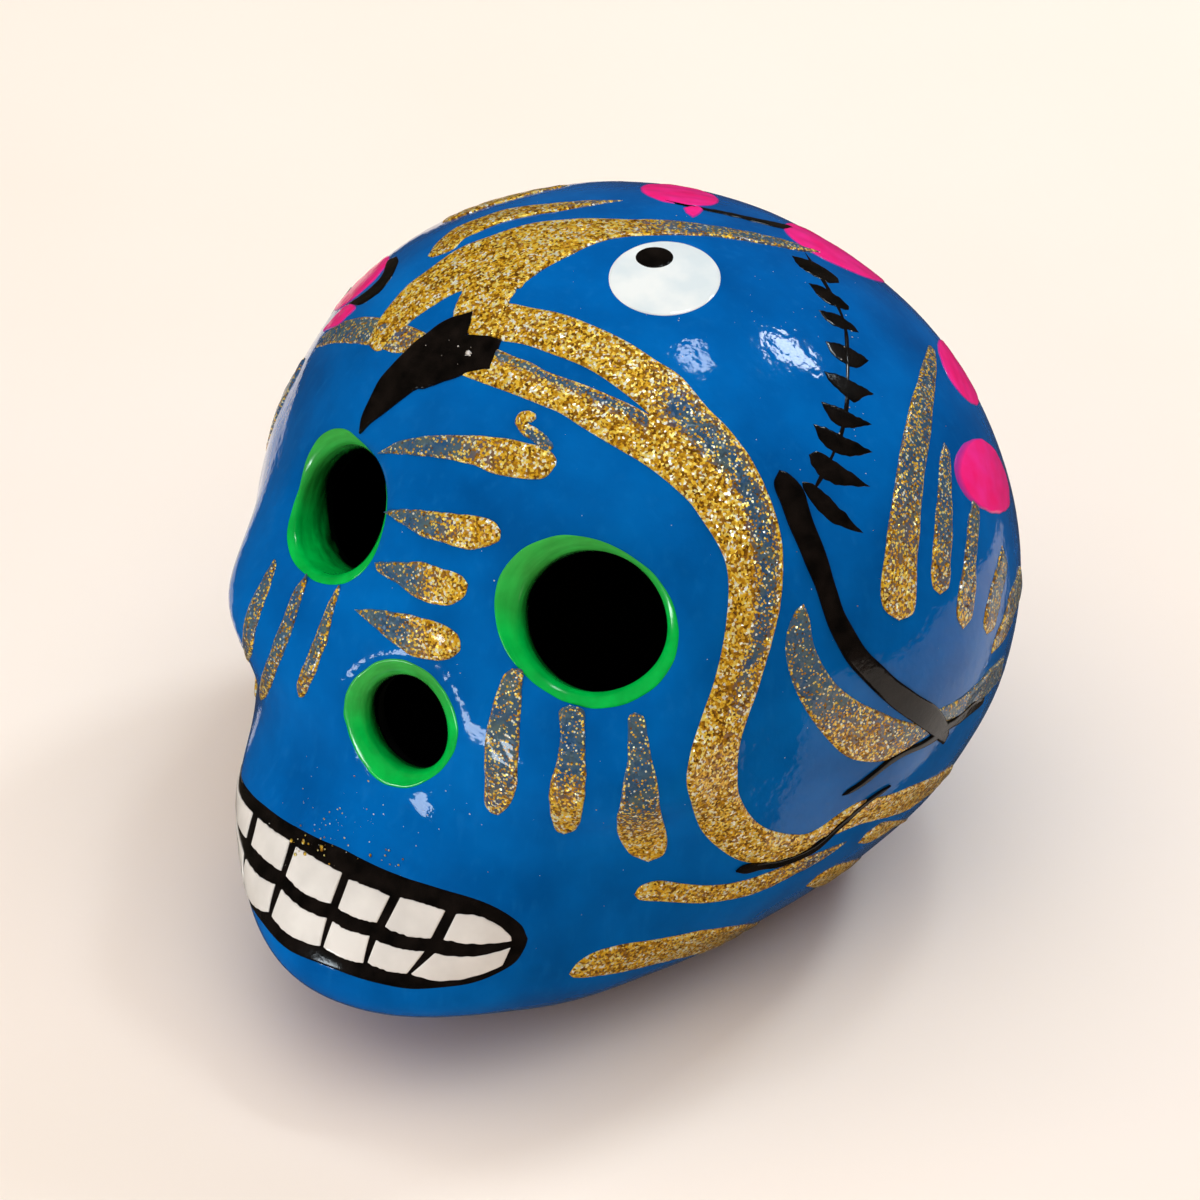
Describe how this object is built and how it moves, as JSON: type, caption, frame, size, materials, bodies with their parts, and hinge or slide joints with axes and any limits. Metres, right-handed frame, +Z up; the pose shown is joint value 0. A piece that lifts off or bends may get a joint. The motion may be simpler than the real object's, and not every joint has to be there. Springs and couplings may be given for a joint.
{
  "type": "painted clay skull ornament",
  "caption": "Hollow two-part clay skull ornament with round eye and nose sockets, a painted row of teeth and raised gold, black and pink strokes; it stands on a flat base.",
  "frame": {"origin": "on the flat base, under the middle of the cranium", "axes": "+Z up from the base, -Y out of the face, +X to the skull's own left"},
  "size_m": [0.0958, 0.1112, 0.0872],
  "materials": {
    "blue_enamel": "glossy",
    "green_enamel": "glossy",
    "black_enamel": "glossy",
    "white_enamel": "glossy",
    "pink_enamel": "glossy",
    "gold_glitter": "glitter in clear lacquer"
  },
  "bodies": {
    "root": {"face_half": "blue_enamel", "back_half": "blue_enamel", "left_eye_lining": "green_enamel", "right_eye_lining": "green_enamel", "nose_lining": "green_enamel", "mouth_lines": "black_enamel", "upper_tooth_1": "white_enamel", "upper_tooth_2": "white_enamel", "upper_tooth_3": "white_enamel", "upper_tooth_4": "white_enamel", "upper_tooth_5": "white_enamel", "upper_tooth_6": "white_enamel", "lower_tooth_1": "white_enamel", "lower_tooth_2": "white_enamel", "lower_tooth_3": "white_enamel", "lower_tooth_4": "white_enamel", "lower_tooth_5": "white_enamel", "lower_tooth_6": "white_enamel", "bridge_drop_1": "gold_glitter", "bridge_drop_2": "gold_glitter", "bridge_drop_3": "gold_glitter", "bridge_drop_4": "gold_glitter", "crown_stroke_1": "gold_glitter", "crown_stroke_2": "gold_glitter", "crown_arc": "gold_glitter", "swirl": "gold_glitter", "eyebrow": "black_enamel", "branch": "black_enamel", "eyeball": "white_enamel", "pupil": "black_enamel", "dot_1": "pink_enamel", "dot_2": "pink_enamel", "dot_3": "pink_enamel", "dot_4": "pink_enamel", "dot_5": "pink_enamel", "left_cheek_drop_1": "gold_glitter", "left_cheek_drop_2": "gold_glitter", "left_cheek_drop_3": "gold_glitter", "right_cheek_drop_1": "gold_glitter", "right_cheek_drop_2": "gold_glitter", "right_cheek_drop_3": "gold_glitter", "left_back_stroke_1": "gold_glitter", "left_back_stroke_2": "gold_glitter", "left_back_stroke_3": "gold_glitter", "left_back_stroke_4": "gold_glitter", "right_back_stroke_1": "gold_glitter", "right_back_stroke_2": "gold_glitter", "right_back_stroke_3": "gold_glitter", "right_back_stroke_4": "gold_glitter", "left_crescent": "gold_glitter", "right_crescent": "gold_glitter", "left_upper_jaw_stroke": "gold_glitter", "right_upper_jaw_stroke": "gold_glitter", "left_lower_jaw_stroke": "gold_glitter", "right_lower_jaw_stroke": "gold_glitter", "left_sweep": "black_enamel", "right_sweep": "black_enamel"}
  },
  "joints": []
}
